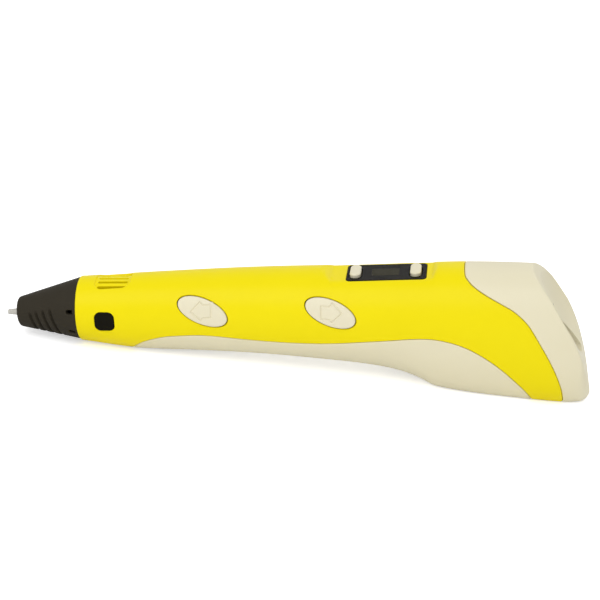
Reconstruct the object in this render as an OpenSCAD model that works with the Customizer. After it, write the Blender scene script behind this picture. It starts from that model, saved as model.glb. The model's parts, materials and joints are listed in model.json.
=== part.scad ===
// Hand-held 3D drawing pen: moulded casing, hot end, cooling fan, filament drive, keys and display.
// Millimetres. The pen lies on its belly on Z = 0, its nozzle towards -X, its side keys on -Y.
// Every piece is drawn in the pen's own axes: X runs from the nozzle tip back along the filament,
// Z is up and Y is across. seat() then tips the pen so that its heel is flat on the ground.

/* [Body] */
// Wall thickness of the three casing shells
wall = 1.8; // [1.6:0.1:1.9]
// Gap left between neighbouring shells
seam_gap = 0.15; // [0.1:0.05:0.25]
// Sides of the casing's cross-section
body_sides = 20; // [16:4:24]

/* [Nose] */
// Diameter of the hole that the plastic leaves by
orifice_d = 0.7; // [0.4:0.1:0.8]
// Wall thickness of the nose cone
nose_wall = 1.5; // [1.3:0.1:1.6]

/* [Keys] */
// Length of a side key
key_length = 16.4; // [15:0.2:17]
// Width of a side key
key_width = 8.0; // [7.4:0.2:8.4]
// How far a side key stands proud of the casing
key_lift = 0.5; // [0.3:0.1:0.8]
// Clearance round every key
key_gap = 0.15; // [0.1:0.05:0.2]
// Height of the small keys above the display window
stud_lift = 1.3; // [1:0.1:1.6]

/* [Display] */
// Length of the display window
window_length = 24.6; // [24:0.1:25]
// Width of the display window
window_width = 12.6; // [12:0.1:12.8]

/* [Filament path] */
// Diameter of the bore that guides the filament
filament_bore = 2.1; // [2:0.1:2.4]

/* [Power socket] */
// Bore of the power socket
socket_bore = 5.6; // [5.5:0.1:5.8]
// Diameter of the socket's centre pin
socket_pin = 2.0; // [1.9:0.1:2.1]

/* [Hidden] */

yellow = [0.97, 0.88, 0.10];
ivory = [0.91, 0.88, 0.79];
soot = [0.13, 0.12, 0.11];
brass = [0.72, 0.58, 0.28];
steel = [0.70, 0.71, 0.72];
board_green = [0.05, 0.30, 0.17];
nylon = [0.86, 0.86, 0.84];

// ---- how the pen lies ----
rest_tilt = 6.7;                 // slope of the line from the front foot to the heel
front_foot = [40, -10.9];        // where the front underside meets the ground
mid_x = 92.8;                    // puts the origin under the middle of the pen
ground = front_foot[0] * sin(rest_tilt) + front_foot[1] * cos(rest_tilt);
module seat() translate([-mid_x, 0, -ground]) rotate([0, -rest_tilt, 0]) children();

// ---- turned and drilled shapes along the pen and across it ----
module rod(r, from_x, to_x, z = 0, sides = 36) translate([from_x, 0, z]) rotate([0, 90, 0])
    cylinder(r = r, h = to_x - from_x, $fn = sides);
module pipe(outer, inner, from_x, to_x, z = 0) difference() {
    rod(outer, from_x, to_x, z);
    rod(inner, from_x - 1, to_x + 1, z);
}
module cross_rod(r, from_y, to_y, at) translate([at[0], from_y, at[1]]) rotate([-90, 0, 0])
    cylinder(r = r, h = to_y - from_y, $fn = 36);
module block(low, high) translate(low) cube(high - low);
// rectangle with round corners, x from 0, y centred
module rounded(l, w, r) {
    translate([r, -w / 2]) square([l - 2 * r, w]);
    translate([0, r - w / 2]) square([l, w - 2 * r]);
    for (x = [r, l - r], y = [r - w / 2, w / 2 - r]) translate([x, y]) circle(r, $fn = 24);
}

// ---- the casing's outlines: [x, size] at the few places that shape each curve ----
ring_x = 24.1;                   // joint between the nose cone and the casing
ring_r = 10.2;
ring_z = 1.35;
tail_x = 190;                    // past the rear end, which is trimmed by an arc
top_line = [[20, 11.2], [25, 11.55], [50, 12.9], [80, 14.2], [110, 14.75], [132, 15.3], [146, 15.5],
            [168, 14.8], [190, 13]];
belly_line = [[20, -8.3], [25, -8.9], [40, -11.1], [50, -11.7], [62, -12.0], [80, -12.9], [95, -14.2],
              [115, -16.4], [125, -18.5], [131.5, -21.2], [136, -24], [146, -26.4], [160, -28.4],
              [174, -30], [180, -29.6], [190, -26]];
half_width = [[20, 9.8], [25, 10.25], [50, 11.6], [92, 13.3], [130, 14.8], [155, 15.5], [176, 15], [190, 13]];
roundness = [[20, 2], [50, 2.1], [110, 2.15], [150, 2.35], [190, 2.35]];

function span_of(t, x, i = 0) = i >= len(t) - 2 || x < t[i + 1][0] ? i : span_of(t, x, i + 1);
function slope(t, i) =
    let (a = max(i - 1, 0), b = min(i + 1, len(t) - 1))
    (t[b][1] - t[a][1]) / (t[b][0] - t[a][0]);
// a smooth curve through the points of a table, read at x
function curve(t, x) =
    let (i = span_of(t, x), w = t[i + 1][0] - t[i][0], u = (x - t[i][0]) / w)
    (2 * pow(u, 3) - 3 * u * u + 1) * t[i][1] + (pow(u, 3) - 2 * u * u + u) * w * slope(t, i)
    + (3 * u * u - 2 * pow(u, 3)) * t[i + 1][1] + (pow(u, 3) - u * u) * w * slope(t, i + 1);
function bulge(c, n) = sign(c) * pow(abs(c), 2 / n);
// one point of the cross-section at x, drawn in by inset
function skin_point(x, turn, inset) =
    let (
        n = curve(roundness, x),
        top = curve(top_line, x) - inset,
        low = curve(belly_line, x) + inset,
        side = curve(half_width, x) - inset
    )
    [x, side * bulge(cos(turn), n), (top + low) / 2 + (top - low) / 2 * bulge(sin(turn), n)];

// the casing's outer form, or its inner form when inset is positive, between two places
stations = [34, 46, 64, 84, 104, 119, 128, 132, 136, 143, 154, 166, 176, 183];
module form(inset, from_x = ring_x, to_x = tail_x) {
    at = concat([from_x], [for (x = stations) if (x > from_x + 0.5 && x < to_x - 0.5) x], [to_x]);
    cuts = len(at) - 1;
    sides = body_sides;
    points = [for (x = at, k = [0:sides - 1]) skin_point(x, 360 * k / sides, inset)];
    walls = [for (i = [0:cuts - 1], k = [0:sides - 1])
        let (a = i * sides + k, b = i * sides + (k + 1) % sides)
        each [[a, b + sides, b], [a, a + sides, b + sides]]];
    front = [for (k = [0:sides - 1]) k];
    back = [for (k = [sides - 1:-1:0]) cuts * sides + k];
    polyhedron(points, concat([front], walls, [back]), convexity = 6);
}

// ---- rear end ----
rear_centre = [115.8, -31.3];    // the rear face is an arc about this point
rear_radius = 68.3;
dish_floor = [173.1, -1];        // deepest point of the dish, on the pen's middle plane
dish_tilt = 29.3;
dish_r = 25.3;
socket_z = -8;
pocket_r = 5;                    // room for the plug's grip
pocket_x = 173.6;
inlet_mouth_x = 172.4;

module rear_trim(r) difference() {
    block([120, -40, -60], [230, 40, 40]);
    translate([rear_centre[0], 0, rear_centre[1]]) rotate([90, 0, 0])
        cylinder(r = r, h = 82, center = true, $fn = 96);
}
// everything below a height above the ground
module ground_trim(height) rotate([0, rest_tilt, 0]) translate([mid_x, 0, ground])
    block([-120, -40, -40], [120, 40, height]);
module dish(grow) translate([dish_floor[0], 0, dish_floor[1]]) rotate([0, -dish_tilt, 0])
    translate([dish_r, 0, 0]) sphere(dish_r + grow, $fn = 64);
module plug_pocket(grow) rod(pocket_r + grow, pocket_x - grow, 195, socket_z);

module solid_body() difference() {
    form(0);
    rear_trim(rear_radius);
    ground_trim(0);
    dish(0);
    plug_pocket(0);
}
module cavity() difference() {
    form(wall, ring_x - 1);
    rear_trim(rear_radius - wall);
    ground_trim(wall);
    dish(wall);
    plug_pocket(wall);
}
module casing() difference() {
    solid_body();
    cavity();
}

// ---- seams between the shells, seen from the side as [x, z] ----
belly_seam = [[37, -16], [42.7, -7.9], [50, -4.4], [58, -3.3], [66, -3.1], [80, -4.5], [92, -5.2],
              [104, -5.1], [118, -3.9], [132, -2.7], [140, -3.6], [147, -6.2], [154, -10.9], [160, -16.8], [165, -23.8],
              [168, -34]];
tail_seam = [[145, 24], [145.2, 16], [146.6, 13.6], [150.6, 11], [156.6, 7.9], [160.6, 5.6], [164.6, 1.7],
             [168.3, -4.7], [171.6, -11.3], [174, -17.8], [175.2, -24], [175.8, -36]];
function bend(p, i, u) =
    let (a = p[max(i - 1, 0)], b = p[i], c = p[i + 1], d = p[min(i + 2, len(p) - 1)])
    (2 * b + (c - a) * u + (2 * a - 5 * b + 4 * c - d) * u * u + (3 * b - a - 3 * c + d) * u * u * u) / 2;
// a smooth line through points
function smooth(p, steps = 1) = concat(
    [for (i = [0:len(p) - 2], k = [0:steps - 1]) bend(p, i, k / steps)], [p[len(p) - 1]]);
module belly_region(grow) rotate([90, 0, 0]) linear_extrude(80, center = true)
    offset(delta = grow) polygon(concat([[37, -60]], smooth(belly_seam), [[168, -60]]));
module tail_region(grow) rotate([90, 0, 0]) linear_extrude(80, center = true)
    offset(delta = grow) polygon(concat([[220, 24]], smooth(tail_seam), [[220, -36]]));
// ---- screws that hold the belly shell: [x, y, height of the joint] ----
screws = [[60, 6, -2.8], [148, 9.6, -5]];
boss_r = 2.2;
pilot_r = 1.1;
screw_r = 1;
head_r = 1.7;
head_depth = 3.4;                // from the joint down to the head's seat
module boss(s, low, high) intersection() {
    translate([s[0], s[1], low]) cylinder(r = boss_r, h = high - low, $fn = 36);
    difference() {
        form(wall / 2, s[0] - 8, s[0] + 8);
        ground_trim(wall / 2);
    }
}

// ---- flat for the display ----
flat_x = 109;                    // front end of the window
flat_z = 13.1;
flat_tilt = 1.5;
window_depth = 1.1;
module on_flat() translate([flat_x, 0, flat_z]) rotate([0, -flat_tilt, 0]) children();
// rounded opening or pad in the flat
module tablet(l, w, h, r) linear_extrude(h) rounded(l, w, r);

// ---- side keys: place along the pen and up the flank, distance of the face, radius of the flank ----
flank_tilt = 20;                 // the keys face this far above level
key_slant = -23.5;
flank_flare = 2.3;               // the flank widens towards the rear
feed_place = [64.7, 0.9, 12.46, 12.5];
retract_place = [104.5, 0.5, 13.81, 14.5];
flange_depth = 4.4;              // from the key's face to its flange
module on_flank() rotate([-flank_tilt, 0, 0]) children();
module oval(place, grow, near, far) on_flank() translate([place[0], -near, place[1]]) rotate([90, 0, 0])
    rotate([0, 0, key_slant]) linear_extrude(far - near) polygon([for (k = [0:35])
        [(key_length / 2 + grow) * cos(10 * k), (key_width / 2 + grow) * sin(10 * k)]]);

// ---- indicator and vent ----
lens_at = [33.4, 1.1];
lens_size = 6.2;
lens_curve = 10.75;
module lens_prism(grow, y_from, y_to) {
    size = lens_size + 2 * grow;
    translate([lens_at[0] - size / 2, -y_from, lens_at[1]]) rotate([90, 0, 0])
        linear_extrude(y_to - y_from) rounded(size, size, 1.9 + grow);
}
vent_x = [29.8, 41];
vent_half = 5.7;
vent_floor_r = 10.4;
slot_pitch = 2.3;
slot_d = 0.9;
module vent_recess() difference() {
    translate([vent_x[0], 0, 5]) tablet(vent_x[1] - vent_x[0], 2 * vent_half, 12, 2.4);
    rod(vent_floor_r, vent_x[0] - 1, vent_x[1] + 1, 1, 60);
}
module vent_slots() for (k = [-2:2]) translate([vent_x[0] + 0.9, k * slot_pitch - slot_d / 2, 5])
    cube([vent_x[1] - vent_x[0] - 1.8, slot_d, 12]);

// ---- casing shells ----
// cradle ribs under the drive frame, the gearbox and the motor, as [x, top]
ribs = [[116, -9.6], [124, -9.6], [139, -15.7], [149, -15.7]];
rib_half = 5.6;
spigot_r = 8.4;
module upper_shell() color(yellow) difference() {
    union() {
        casing();
        for (s = screws) boss(s, s[2], 20);
        // frame that carries the display window
        intersection() {
            on_flat() translate([-2.2, 0, -2.2]) tablet(window_length + 4.4, window_width + 2.4, 6, 1.6);
            form(wall / 2, 100, 145);
        }
    }
    belly_region(seam_gap);
    tail_region(seam_gap);
    on_flat() {
        // the flat, ramping out of the casing at both ends
        rotate([90, 0, 0]) linear_extrude(40, center = true) polygon([
            [-4.6, 0], [window_length + 1.8, 0], [window_length + 4.4, 3], [window_length + 4.4, 7],
            [-8.6, 7], [-8.6, 3]]);
        translate([-0.1, 0, -window_depth]) tablet(window_length + 0.2, window_width + 0.2, 4, 1.3);
        translate([0.6, 0, -4]) tablet(window_length - 1.2, window_width - 2, 5, 1);
    }
    oval(feed_place, key_gap, 6, 20);
    oval(retract_place, key_gap, 6, 20);
    lens_prism(0.1, 6, 14);
    vent_recess();
    vent_slots();
    for (s = screws) translate([s[0], s[1], s[2] - 1]) cylinder(r = pilot_r, h = 7.5, $fn = 36);
    // counterbore that the nose cone's spigot enters
    rod(spigot_r + 0.4, ring_x - 1, ring_x + 3.9, ring_z);
    // room for the tail cap's plug pocket
    rod(pocket_r + wall + 0.3, 160, 180, socket_z);
}

module belly_shell() color(ivory) difference() {
    union() {
        intersection() {
            casing();
            belly_region(0);
        }
        for (s = screws) boss(s, -40, s[2] - seam_gap);
        intersection() {
            for (rib = ribs) block([rib[0] - 0.6, -rib_half, -40], [rib[0] + 0.6, rib_half, rib[1]]);
            difference() {
                form(wall / 2, ribs[0][0] - 5, ribs[3][0] + 5);
                ground_trim(wall / 2);
            }
        }
    }
    for (s = screws) translate([s[0], s[1], -40]) {
        cylinder(r = screw_r + 0.2, h = 40, $fn = 36);
        cylinder(r = head_r + 0.2, h = 40 + s[2] - head_depth, $fn = 36);
    }
}

module tail_cap() color(ivory) difference() {
    union() {
        intersection() {
            casing();
            tail_region(0);
        }
        // collars for the inlet guide and the power socket
        difference() {
            union() {
                rod(3.9, 166.5, 176);
                rod(5.6, 167.5, 176, socket_z);
            }
            dish(wall / 2);
            plug_pocket(wall / 2);
        }
    }
    rod(2.5, 160, 180);
    rod(4.25, 160, pocket_x + 1, socket_z);
}

module shell_screws() color(steel) for (s = screws) translate([s[0], s[1], 0]) difference() {
    union() {
        translate([0, 0, s[2] - head_depth - 1.2]) cylinder(r = head_r, h = 1.2, $fn = 32);
        translate([0, 0, s[2] - head_depth - 0.1]) cylinder(r = screw_r, h = head_depth + 5, $fn = 32);
    }
    for (turn = [0, 90]) translate([0, 0, s[2] - head_depth - 1.25]) rotate([0, 0, turn])
        cube([2, 0.4, 1], center = true);
}

// ---- nose cone ----
nose_x = 3.8;                    // front of the cone
nose_z = 0.13;
nose_lean = 3.2;                 // the cone's axis rises towards the casing
// outline as [distance from the front, radius]; the front rim is an arc
function nose_outline(inset) = concat(
    [[inset, 0]],
    [for (turn = [90:-15:0]) [1.25 + (inset - 1.25) * sin(turn), 3.65 - inset + 1.25 * cos(turn)]],
    [[22.3, ring_r + 0.18 - inset], [22.3, 0]]);
module nose_form(inset) translate([nose_x, 0, nose_z]) rotate([0, 90 - nose_lean, 0])
    rotate_extrude($fn = 72) polygon([for (p = nose_outline(inset)) [p[1], p[0]]]);
groove_x = [8.9, 11.2, 13.7, 16.3];
groove_lean = -15.5;
module nose_cone() color(soot) difference() {
    union() {
        intersection() {
            nose_form(0);
            block([0, -15, -15], [ring_x - 0.1, 15, 15]);
        }
        rod(spigot_r, ring_x - 1, ring_x + 3.5, ring_z);
    }
    intersection() {
        nose_form(nose_wall);
        block([0, -15, -15], [ring_x - 0.8, 15, 15]);
    }
    rod(spigot_r - 1.2, ring_x - 1.2, ring_x + 4, ring_z);
    rod(1.35, 0, 8);
    // grip grooves round the lower half
    for (x = groove_x) intersection() {
        difference() {
            nose_form(-1);
            nose_form(0.5);
        }
        translate([x, 0, 0]) rotate([0, groove_lean, 0])
            block([-0.35, -12, -14], [0.35, 12, 2.6 + 0.25 * (x - groove_x[0])]);
    }
    // slots at the rear edge
    for (side = [-1, 1], turn = [15, -30]) translate([0, 0, ring_z]) rotate([side * turn, 0, 0])
        scale([1, side, 1]) block([20.9, 6, -0.7], [23.4, 12, 0.7]);
}

module indicator_lens() color(soot) intersection() {
    lens_prism(0, 8.9, 12);
    translate([20, 0, 0.9]) rotate([0, 90, 0]) cylinder(r = lens_curve, h = 30, $fn = 96);
}

// ---- hot end ----
bore_r = filament_bore / 2;
module nozzle() color(nylon) rotate([0, 90, 0]) rotate_extrude($fn = 48) polygon([
    [orifice_d / 2, 0], [0.8, 0], [1.1, 3.2], [1.1, 5.7], [2, 6.3], [2, 14], [1.6, 14.4], [1.6, 16],
    [bore_r, 16], [bore_r, 3.4], [orifice_d / 2, 2.4]]);
module heater_coil() color(steel) for (k = [0:5]) translate([7.4 + k, 0, 0]) rotate([0, 90, 0])
    rotate_extrude($fn = 32) translate([2.3, 0]) circle(0.22, $fn = 16);
module heater_sleeve() color(nylon) pipe(3.2, 2.65, 6.8, 13.2);
module thermistor() color(soot) {
    translate([12, 0, 3.75]) sphere(0.5, $fn = 24);
    rod(0.15, 12, 17, 3.75);
}
module heat_break() color(steel) pipe(1.5, bore_r, 16, 25.9);
collar_z = 1.2;
module cold_collar() color(nylon) difference() {
    union() {
        rod(3, 22.5, 29.8);
        rod(8.2, 28.9, 29.8, collar_z);
    }
    rod(1.55, 22, 30);
    for (turn = [30:60:330]) translate([0, 5.6 * cos(turn), 5.6 * sin(turn)]) rod(1.2, 28, 31, collar_z);
}

// ---- cooling fan below the vent ----
fan_at = [36.2, 0, 4.3];
fan_size = 12;
module fan_frame() color(soot) translate(fan_at) {
    difference() {
        translate([-fan_size / 2, -fan_size / 2, 0]) cube([fan_size, fan_size, 3]);
        translate([0, 0, -1]) cylinder(r = 5.4, h = 5, $fn = 60);
    }
    cylinder(r = 2.6, h = 0.6, $fn = 36);
    for (turn = [30:120:270]) rotate([0, 0, turn]) block([2.4, -0.5, 0], [5.6, 0.5, 0.6]);
    cylinder(r = 0.5, h = 2.6, $fn = 24);
}
module fan_rotor() color(soot) translate(fan_at) difference() {
    union() {
        translate([0, 0, 0.75]) cylinder(r = 2.4, h = 2.1, $fn = 36);
        for (k = [0:6]) rotate([0, 0, k * 360 / 7]) translate([3.6, 0, 1.8]) rotate([38, 0, 0])
            cube([2.8, 2.2, 0.35], center = true);
    }
    translate([0, 0, 0.1]) cylinder(r = 0.55, h = 4, $fn = 24);
}

// ---- filament path ----
module feed_tube() color(nylon) pipe(1.5, bore_r, 26.1, 119.2);
module inlet_tube() color(nylon) pipe(1.5, bore_r, 129.1, 165);
module inlet_guide() color(soot) rotate([0, 90, 0]) rotate_extrude($fn = 48) polygon([
    [1.55, 164], [2.4, 164], [2.4, inlet_mouth_x], [1.9, inlet_mouth_x + 0.2], [bore_r, inlet_mouth_x - 1.4],
    [bore_r, 166], [1.55, 166]]);

// ---- keys on the flank ----
module side_key(place) {
    face = place[2];
    curve_r = place[3];
    intersection() {
        oval(place, 0, face - flange_depth - 0.5, face + 3);
        on_flank() translate([place[0], curve_r - face, place[1]]) rotate([0, 90, -flank_flare])
            cylinder(r = curve_r + key_lift, h = 60, center = true, $fn = 96);
    }
    oval(place, 0.9, face - flange_depth - 1, face - flange_depth);
}
module feed_key() color(ivory) side_key(feed_place);
module retract_key() color(ivory) side_key(retract_place);

// ---- tactile switches on the main board; a plunger stands against each key's flange ----
board_n = [4, 5];                // the board's two faces, measured out from the filament
plunger_r = 1.2;
module plunger(place) on_flank() {
    top = place[2] - flange_depth - 1;
    translate([place[0], -top, place[1]]) rotate([-90, 0, 0]) cylinder(r = plunger_r, h = 1.4, $fn = 36);
}
module feed_plunger() color(soot) plunger(feed_place);
module retract_plunger() color(soot) plunger(retract_place);
module side_switches() color(steel) for (place = [feed_place, retract_place]) on_flank() difference() {
    high = place[2] - flange_depth - 1.86;
    block([place[0] - 3, -high, place[1] - 3], [place[0] + 3, -board_n[1], place[1] + 3]);
    translate([place[0], -20, place[1]]) rotate([-90, 0, 0]) cylinder(r = plunger_r + 0.15, h = 18, $fn = 36);
}
module main_board() color(board_green) on_flank()
    block([50.5, -board_n[1], -6.4], [110.5, -board_n[0], 6.4]);
// chips as [x, height up the board, length, width, thickness]
chips = [[84, 0, 7, 7, 1], [94, 2, 4, 5, 1.5], [94, -4, 3, 3, 1.1], [76.5, -4.4, 3, 2, 0.8],
         [76.5, 4.2, 3, 2, 0.8], [53, 0, 3, 9, 1.6]];
module board_chips() color(soot) for (c = chips) on_flank() translate([c[0], 0, c[1]])
    block([-c[2] / 2, -board_n[1] - c[4], -c[3] / 2], [c[2] / 2, -board_n[1], c[3] / 2]);
module indicator_board() color(board_green) block([30.4, -5.2, -2], [36.4, -4.4, 4]);
module indicator_led() color(nylon) {
    cross_rod(1.5, -7.4, -5.2, lens_at);
    translate([lens_at[0], -7.4, lens_at[1]]) sphere(1.5, $fn = 32);
}

// ---- display on the top flat ----
stud_x = [2.7, 21.3];
stud_size = [3.7, 8.2];
module stadium(w, l, h) linear_extrude(h) {
    square([w, l - w], center = true);
    for (y = [-1, 1]) translate([0, y * (l - w) / 2]) circle(d = w, $fn = 32);
}
module display_window() color(soot) on_flat() difference() {
    translate([0, 0, -window_depth]) linear_extrude(window_depth) rounded(window_length, window_width, 1.2);
    for (x = stud_x) translate([x, 0, -2])
        stadium(stud_size[0] + 2 * key_gap, stud_size[1] + 2 * key_gap, 4);
}
module display_panel() color([0.25, 0.27, 0.2]) on_flat() block([6.2, -4.6, -4.2], [18, 4.6, -1.3]);
module display_board() color(board_green) on_flat() block([-2, -5.5, -5.2], [26.5, 5.5, -4.2]);
module stud_key(x) on_flat() translate([x, 0, 0]) {
    intersection() {
        translate([0, 0, -1.6]) stadium(stud_size[0], stud_size[1], 1.6 + stud_lift);
        translate([0, 0, stud_lift - 4]) rotate([90, 0, 0]) cylinder(r = 4, h = 20, center = true, $fn = 60);
    }
    translate([0, 0, -2.1]) stadium(stud_size[0], stud_size[1] + 1.6, 0.85);
}
module heat_key() color(ivory) stud_key(stud_x[0]);
module speed_key() color(ivory) stud_key(stud_x[1]);
module stud_plunger(x) on_flat() translate([x, 0, -3.65]) cylinder(r = 0.9, h = 1.55, $fn = 32);
module heat_plunger() color(soot) stud_plunger(stud_x[0]);
module speed_plunger() color(soot) stud_plunger(stud_x[1]);
module top_switches() color(steel) on_flat() for (x = stud_x) difference() {
    block([x - 1.7, -2.2, -4.2], [x + 1.7, 2.2, -3.1]);
    translate([x, 0, -5]) cylinder(r = 1.05, h = 4, $fn = 32);
}

// ---- filament drive ----
gear_module = 0.5;
feed_teeth = 22;
pinion_teeth = 18;
backlash = 0.1;
pressure_angle = 20;
hob_r = 3.5;
idler_r = 2.5;
pinch = 1.68;                    // gap between the hob and the roller with no filament in it
feed_at = [124, -hob_r - pinch / 2];
roller_at = [feed_at[0], idler_r + pinch / 2];
centre_distance = gear_module * (feed_teeth + pinion_teeth) / 2;
gearbox_z = -10.5;
pinion_at = [feed_at[0] + sqrt(pow(centre_distance, 2) - pow(feed_at[1] - gearbox_z, 2)), gearbox_z];
mesh_turn = atan2(pinion_at[1] - feed_at[1], pinion_at[0] - feed_at[0]);
pivot_at = [116.8, 3.6];
plate_y = [4, 5.4];
plate_x = [112.5, 128.8];
plate_z = [-9.3, 7.4];
feed_shaft_r = 1;
bush_r = 1.9;
pin_r = 0.75;

function unwind(r, base) = r <= base ? 0 : (sqrt(r * r / (base * base) - 1) * 180 / PI - acos(base / r));
// involute outline of a gear, a tooth centred on angle 0
function gear_outline(teeth) =
    let (
        pitch_r = gear_module * teeth / 2,
        base = pitch_r * cos(pressure_angle),
        root = pitch_r - 1.25 * gear_module,
        tip = pitch_r + gear_module,
        half = 90 / teeth - backlash / 2 / pitch_r * 90 / PI + unwind(pitch_r, base),
        radii = concat([root], [for (i = [0:6]) max(base, root) + (tip - max(base, root)) * i / 6])
    )
    // up one flank of each tooth and down the other
    [for (k = [0:teeth - 1], i = [0:15])
        let (
            r = radii[min(i, 15 - i)],
            turn = (half - unwind(r, base)) * (i < 8 ? -1 : 1) + k * 360 / teeth
        )
        r * [cos(turn), sin(turn)]];
module gear(teeth, turn, at, from_y, to_y, bore) translate([at[0], to_y, at[1]]) rotate([90, 0, 0])
    rotate([0, 0, turn]) linear_extrude(to_y - from_y) difference() {
        polygon(gear_outline(teeth));
        circle(bore, $fn = 36);
    }
module side_plate(from_y, to_y) difference() {
    block([plate_x[0], from_y, plate_z[0]], [plate_x[1], to_y, plate_z[1]]);
    cross_rod(bush_r + 0.05, from_y - 1, to_y + 1, feed_at);
    cross_rod(pin_r + 0.03, from_y - 1, to_y + 1, pivot_at);
}
drive_screw_at = [[113.8, -7.6], [113.8, 6]];
module drive_frame() color(nylon) difference() {
    union() {
        side_plate(plate_y[0], plate_y[1]);
        block([plate_x[0], -plate_y[0], plate_z[0]], [plate_x[0] + 2.2, plate_y[0], plate_z[1]]);
        block([plate_x[1] - 0.9, -plate_y[0], plate_z[0]], [plate_x[1], plate_y[0], plate_z[1]]);
        block([plate_x[0], -plate_y[0], plate_z[0]], [plate_x[1], plate_y[0], plate_z[0] + 1]);
    }
    rod(1.55, 110, 131);
    for (at = drive_screw_at) cross_rod(0.85, -5, 1, at);
}
module drive_cover() color(nylon) difference() {
    side_plate(-plate_y[1], -plate_y[0]);
    for (at = drive_screw_at) cross_rod(0.95, -6, -3, at);
}
module drive_screws() color(steel) for (at = drive_screw_at) {
    cross_rod(1.4, -6.3, -plate_y[1], at);
    cross_rod(0.8, -plate_y[1] - 0.2, 0.5, at);
}
module shaft_bushes() color(brass) for (side = [-1, 1]) scale([1, side, 1]) difference() {
    union() {
        cross_rod(bush_r, plate_y[0], plate_y[1], feed_at);
        cross_rod(bush_r + 0.5, plate_y[0] - 0.6, plate_y[0], feed_at);
    }
    cross_rod(feed_shaft_r + 0.05, 0, 8, feed_at);
}
module feed_shaft() color(steel) cross_rod(feed_shaft_r, -6.4, 8.6, feed_at);
module feed_gear() color(nylon) {
    gear(feed_teeth, mesh_turn, feed_at, 6.2, 8.2, feed_shaft_r + 0.02);
    difference() {
        cross_rod(2, 5.6, 6.2, feed_at);
        cross_rod(feed_shaft_r + 0.02, 5, 7, feed_at);
    }
}
hob_teeth = 36;
module hob() color(brass) translate([feed_at[0], 2.4, feed_at[1]]) rotate([90, 0, 0])
    linear_extrude(4.8) difference() {
        polygon([for (k = [0:2 * hob_teeth - 1])
            (hob_r - 0.3 * (k % 2)) * [cos(180 * k / hob_teeth), sin(180 * k / hob_teeth)]]);
        circle(feed_shaft_r + 0.02, $fn = 36);
    }
gearbox_shaft_r = 1.5;
module gearbox() color(steel) difference() {
    block([129, -6, gearbox_z - 5], [141, 6, gearbox_z + 5]);
    cross_rod(gearbox_shaft_r + 0.05, 2, 7, pinion_at);
}
module gearbox_shaft() color(steel) cross_rod(gearbox_shaft_r, 2.2, 8.9, pinion_at);
module drive_pinion() color(brass)
    gear(pinion_teeth, mesh_turn + 180 + 180 / pinion_teeth, pinion_at, 6.3, 8.6, gearbox_shaft_r + 0.02);
module motor() color(steel) intersection() {
    rod(6, 141, 155.5, gearbox_z);
    block([140, -6, gearbox_z - 5], [156, 6, gearbox_z + 5]);
}
module motor_cap() color(soot) {
    rod(4.9, 155.5, 157.3, gearbox_z);
    for (y = [-3, 3]) block([157.3, y - 0.6, gearbox_z - 0.2], [159, y + 0.6, gearbox_z + 0.2]);
}
// a bent strip over the motor, its feet screwed beside it
module motor_bracket() color(steel) difference() {
    block([141.8, -9.2, gearbox_z - 5], [145.4, 9.2, gearbox_z + 6]);
    block([141, -6.2, gearbox_z - 6], [146, 6.2, gearbox_z + 5.2]);
    for (side = [-1, 1]) scale([1, side, 1])
        block([141, 7, gearbox_z - 4.2], [146, 10, gearbox_z + 7]);
}

// ---- idler: a sprung arm presses a ball bearing on the filament ----
module idler_arm() color(nylon) difference() {
    union() {
        for (side = [-1, 1]) scale([1, side, 1]) {
            block([pivot_at[0], 1.4, 2.2], [127, 2.4, 5]);
            cross_rod(1.8, 0, 2.4, pivot_at);
        }
        block([117.6, -1.5, 2.2], [120.9, 1.5, 5]);
    }
    cross_rod(pin_r + 0.05, -5, 5, pivot_at);
    cross_rod(pin_r + 0.03, -5, 5, roller_at);
}
module idler_pivot() color(steel) cross_rod(pin_r, -plate_y[1], plate_y[1], pivot_at);
module idler_axle() color(steel) cross_rod(pin_r, -2.4, 2.4, roller_at);
module idler_roller() color(steel) difference() {
    cross_rod(idler_r, -1.15, 1.15, roller_at);
    cross_rod(pin_r + 0.05, -2, 2, roller_at);
}
// coils of the torsion spring round the pivot
module idler_spring() color(steel) {
    for (k = [0:2]) translate([pivot_at[0], 2.75 + 0.4 * k, pivot_at[1]]) rotate([90, 0, 0])
        rotate_extrude($fn = 32) translate([1.15, 0]) circle(0.18, $fn = 16);
}

// ---- power socket ----
module power_socket() color(soot) difference() {
    rod(4.1, 163.5, pocket_x, socket_z);
    rod(socket_bore / 2, 164.6, pocket_x + 1, socket_z);
}
module socket_contact() color(steel) {
    rod(socket_pin / 2, 164.6, 172.8, socket_z);
    for (y = [-2, 2]) block([161.6, y - 0.8, socket_z - 0.2], [163.5, y + 0.8, socket_z + 0.2]);
}

// ---- leads: each a tube through points chosen by hand, in order along the pen ----
lead_r = 0.4;
module lead(path, shift = [0, 0, 0]) {
    sides = 8;
    centre = smooth(path, 3);
    n = len(centre);
    points = [for (c = centre, k = [0:sides - 1]) c + shift + lead_r * [0, cos(45 * k), sin(45 * k)]];
    walls = [for (i = [0:n - 2], k = [0:sides - 1])
        let (a = i * sides + k, b = i * sides + (k + 1) % sides)
        each [[a, b + sides, b], [a, a + sides, b + sides]]];
    near = [for (k = [0:sides - 1]) k];
    far = [for (k = [sides - 1:-1:0]) (n - 1) * sides + k];
    polyhedron(points, concat([near], walls, [far]));
}
heater_route = [[13.5, -0.6, -4.1], [18, -0.6, -4.4], [24, -0.6, -4.4], [31, -0.6, -4.4], [40, -1, -5.2],
                [50, -2.6, -5.8], [57, -4, -6]];
fan_route = [[42.4, 2.4, 5.6], [45, 1.8, 6], [49, 0, 6.6], [53, -0.4, 6.8]];
motor_route = [[104, -8.4, -7.4], [112, -8.4, -6.4], [122, -8.4, -5.4], [129, -7.6, -4.2], [134, -5, -3.6],
               [144, -4.2, -3.6], [153, -3.8, -3.8], [156.4, -3.2, -4.6]];
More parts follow.
